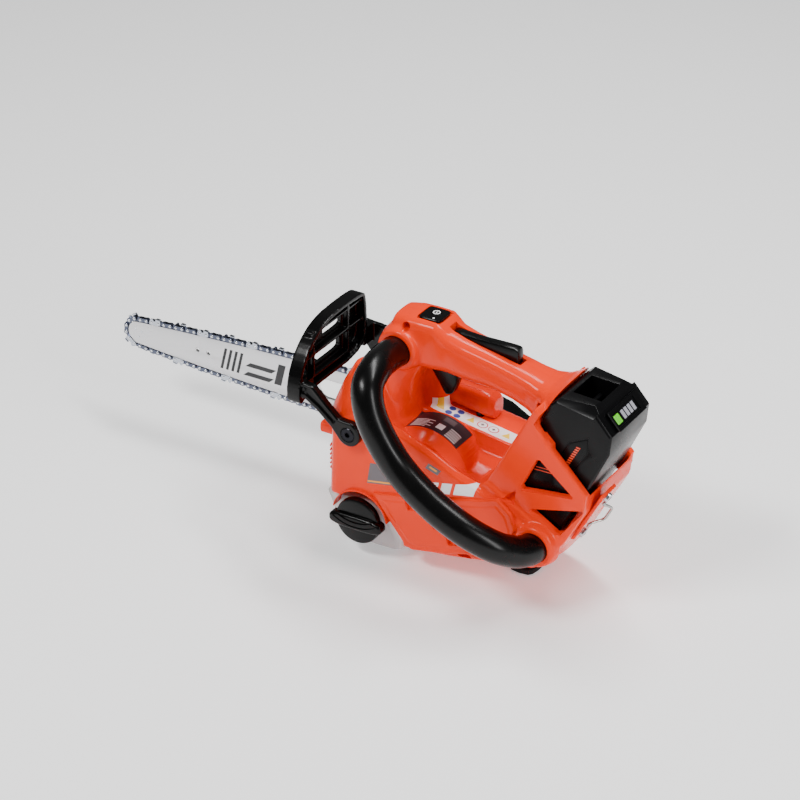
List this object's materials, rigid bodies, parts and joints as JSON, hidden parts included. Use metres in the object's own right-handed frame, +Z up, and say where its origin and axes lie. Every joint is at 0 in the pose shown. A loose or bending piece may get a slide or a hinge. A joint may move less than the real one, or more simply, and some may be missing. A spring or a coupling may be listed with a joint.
{
  "type": "battery top-handle chainsaw",
  "caption": "Battery top-handle chainsaw: guide bar with chain, tipping hand guard, wrap-round tube handle, trigger with lock-out lever, oil cap and slide-in battery.",
  "frame": {"origin": "centre of the front foot's bottom face, on the plane the saw stands on", "axes": "+Z up, -X along the guide bar to its nose, +X to the battery, +Y to the saw's right side where the bar is"},
  "size_m": [0.5108, 0.1823, 0.2059],
  "materials": {
    "orange_plastic": "glossy orange-red moulded housing plastic",
    "black_plastic": "semi-gloss black moulded plastic",
    "satin_black_tube": "satin black coated handle tube",
    "black_rubber": "dull black rubber",
    "milky_tank": "milky translucent tank plastic",
    "bright_steel": "bright brushed steel",
    "chain_steel": "dark blue-grey chain steel",
    "dark_steel": "blackened steel",
    "copper_winding": "enamelled copper winding",
    "potted_board": "potted controller block",
    "green_key": "green gauge key"
  },
  "bodies": {
    "powerhead": {"guide_bar": "bright_steel", "saw_chain": "chain_steel", "shaft_bearing_left": "bright_steel", "shaft_bearing_right": "bright_steel", "brake_band": "bright_steel", "motor_stator": "copper_winding", "motor_bearing": "bright_steel", "bearing_plate": "bright_steel", "motor_housing_left": "orange_plastic", "motor_housing_right": "orange_plastic", "finger_rail": "orange_plastic", "vent_cover": "orange_plastic", "side_cover": "black_plastic", "bar_stud_1": "bright_steel", "bar_stud_2": "bright_steel", "chain_catcher": "bright_steel", "oil_tank": "milky_tank", "cap_seal": "black_rubber", "oil_pump": "bright_steel", "oil_hose": "black_rubber", "handle_left": "orange_plastic", "handle_right": "orange_plastic", "trigger_pin": "bright_steel", "trigger_spring": "bright_steel", "lever_pin": "bright_steel", "trigger_switch": "black_plastic", "power_panel": "black_plastic", "front_handle": "satin_black_tube", "guard_screw_left": "dark_steel", "guard_screw_right": "dark_steel", "battery_bay": "orange_plastic", "rear_bracket": "orange_plastic", "bracket_screw_1": "bright_steel", "bracket_screw_2": "bright_steel", "terminal_block": "black_plastic", "controller": "potted_board", "battery_lead": "black_rubber", "foot_front": "black_rubber", "foot_rear": "black_rubber"},
    "guard": {"hand_guard": "black_plastic"},
    "trigger": {"trigger": "black_plastic"},
    "lockout": {"lockout_lever": "black_plastic"},
    "power_key": {"power_button": "black_plastic"},
    "cap": {"oil_cap": "black_plastic"},
    "motor": {"motor_shaft": "bright_steel", "motor_rotor": "bright_steel", "cooling_fan": "black_plastic", "motor_pinion": "bright_steel"},
    "sprocket": {"drive_sprocket": "dark_steel", "sprocket_shaft": "bright_steel", "sprocket_gear": "bright_steel", "brake_drum": "bright_steel"},
    "battery": {"battery_case": "black_plastic", "gauge_panel": "black_plastic"},
    "gauge_button": {"gauge_key": "green_key"},
    "latch": {"battery_latch": "black_plastic"},
    "nut_front": {"bar_nut_1": "bright_steel"},
    "nut_rear": {"bar_nut_2": "bright_steel"},
    "tensioner": {"tension_screw": "bright_steel"},
    "ring": {"carry_ring": "bright_steel"}
  },
  "joints": [
    {"name": "guard_tilt", "type": "hinge", "parent": "powerhead", "child": "guard", "pos_m": [0.016, 0, 0.11], "axis": [0, -1, 0], "range_deg": [0, 14]},
    {"name": "trigger_pull", "type": "hinge", "parent": "powerhead", "child": "trigger", "pos_m": [0.062, 0, 0.174], "axis": [0, -1, 0], "range_deg": [0, 20], "stiffness_Nm_per_rad": 0.4, "springref_deg": -14.32},
    {"name": "lockout_press", "type": "hinge", "parent": "powerhead", "child": "lockout", "pos_m": [0.084, 0, 0.1895], "axis": [0, 1, 0], "range_deg": [0, 8], "stiffness_Nm_per_rad": 0.3, "springref_deg": -14.32},
    {"name": "power_key_press", "type": "slide", "parent": "powerhead", "child": "power_key", "axis": [0, 0, -1], "range_m": [0, 0.0008], "stiffness_N_per_m": 400, "springref_m": -0.001},
    {"name": "cap_turn", "type": "hinge", "parent": "powerhead", "child": "cap", "pos_m": [0.0235, -0.05, 0.033], "axis": [0, -1, 0], "continuous": true},
    {"name": "motor_spin", "type": "hinge", "parent": "powerhead", "child": "motor", "pos_m": [0.0875, 0, 0.06433], "axis": [0, 1, 0], "continuous": true},
    {"name": "sprocket_spin", "type": "hinge", "parent": "powerhead", "child": "sprocket", "pos_m": [0.068, 0, 0.078], "axis": [0, 1, 0], "continuous": true},
    {"name": "battery_slide", "type": "slide", "parent": "powerhead", "child": "battery", "axis": [0.4695, 0, 0.8829], "range_m": [0, 0.09]},
    {"name": "gauge_press", "type": "slide", "parent": "battery", "child": "gauge_button", "axis": [-0.6787, 0, -0.7344], "range_m": [0, 0.0008], "stiffness_N_per_m": 400, "springref_m": -0.001},
    {"name": "latch_press", "type": "slide", "parent": "battery", "child": "latch", "axis": [0.8829, 0, -0.4695], "range_m": [0, 0.0035], "stiffness_N_per_m": 600, "springref_m": -0.003},
    {"name": "nut_front_turn", "type": "hinge", "parent": "powerhead", "child": "nut_front", "pos_m": [0.012, 0.07, 0.078], "axis": [0, 1, 0], "continuous": true},
    {"name": "nut_rear_turn", "type": "hinge", "parent": "powerhead", "child": "nut_rear", "pos_m": [0.032, 0.07, 0.078], "axis": [0, 1, 0], "continuous": true},
    {"name": "tensioner_turn", "type": "hinge", "parent": "powerhead", "child": "tensioner", "pos_m": [-0.006, 0.066, 0.062], "axis": [0, 1, 0], "continuous": true},
    {"name": "ring_swing", "type": "hinge", "parent": "powerhead", "child": "ring", "pos_m": [0.21772, -0.024, 0.08403], "axis": [0.4695, 0, 0.8829], "range_deg": [-60, 28]}
  ],
  "couplings": [
    {"joint": "sprocket_spin", "follows": "motor_spin", "ratio": -0.42857}
  ]
}
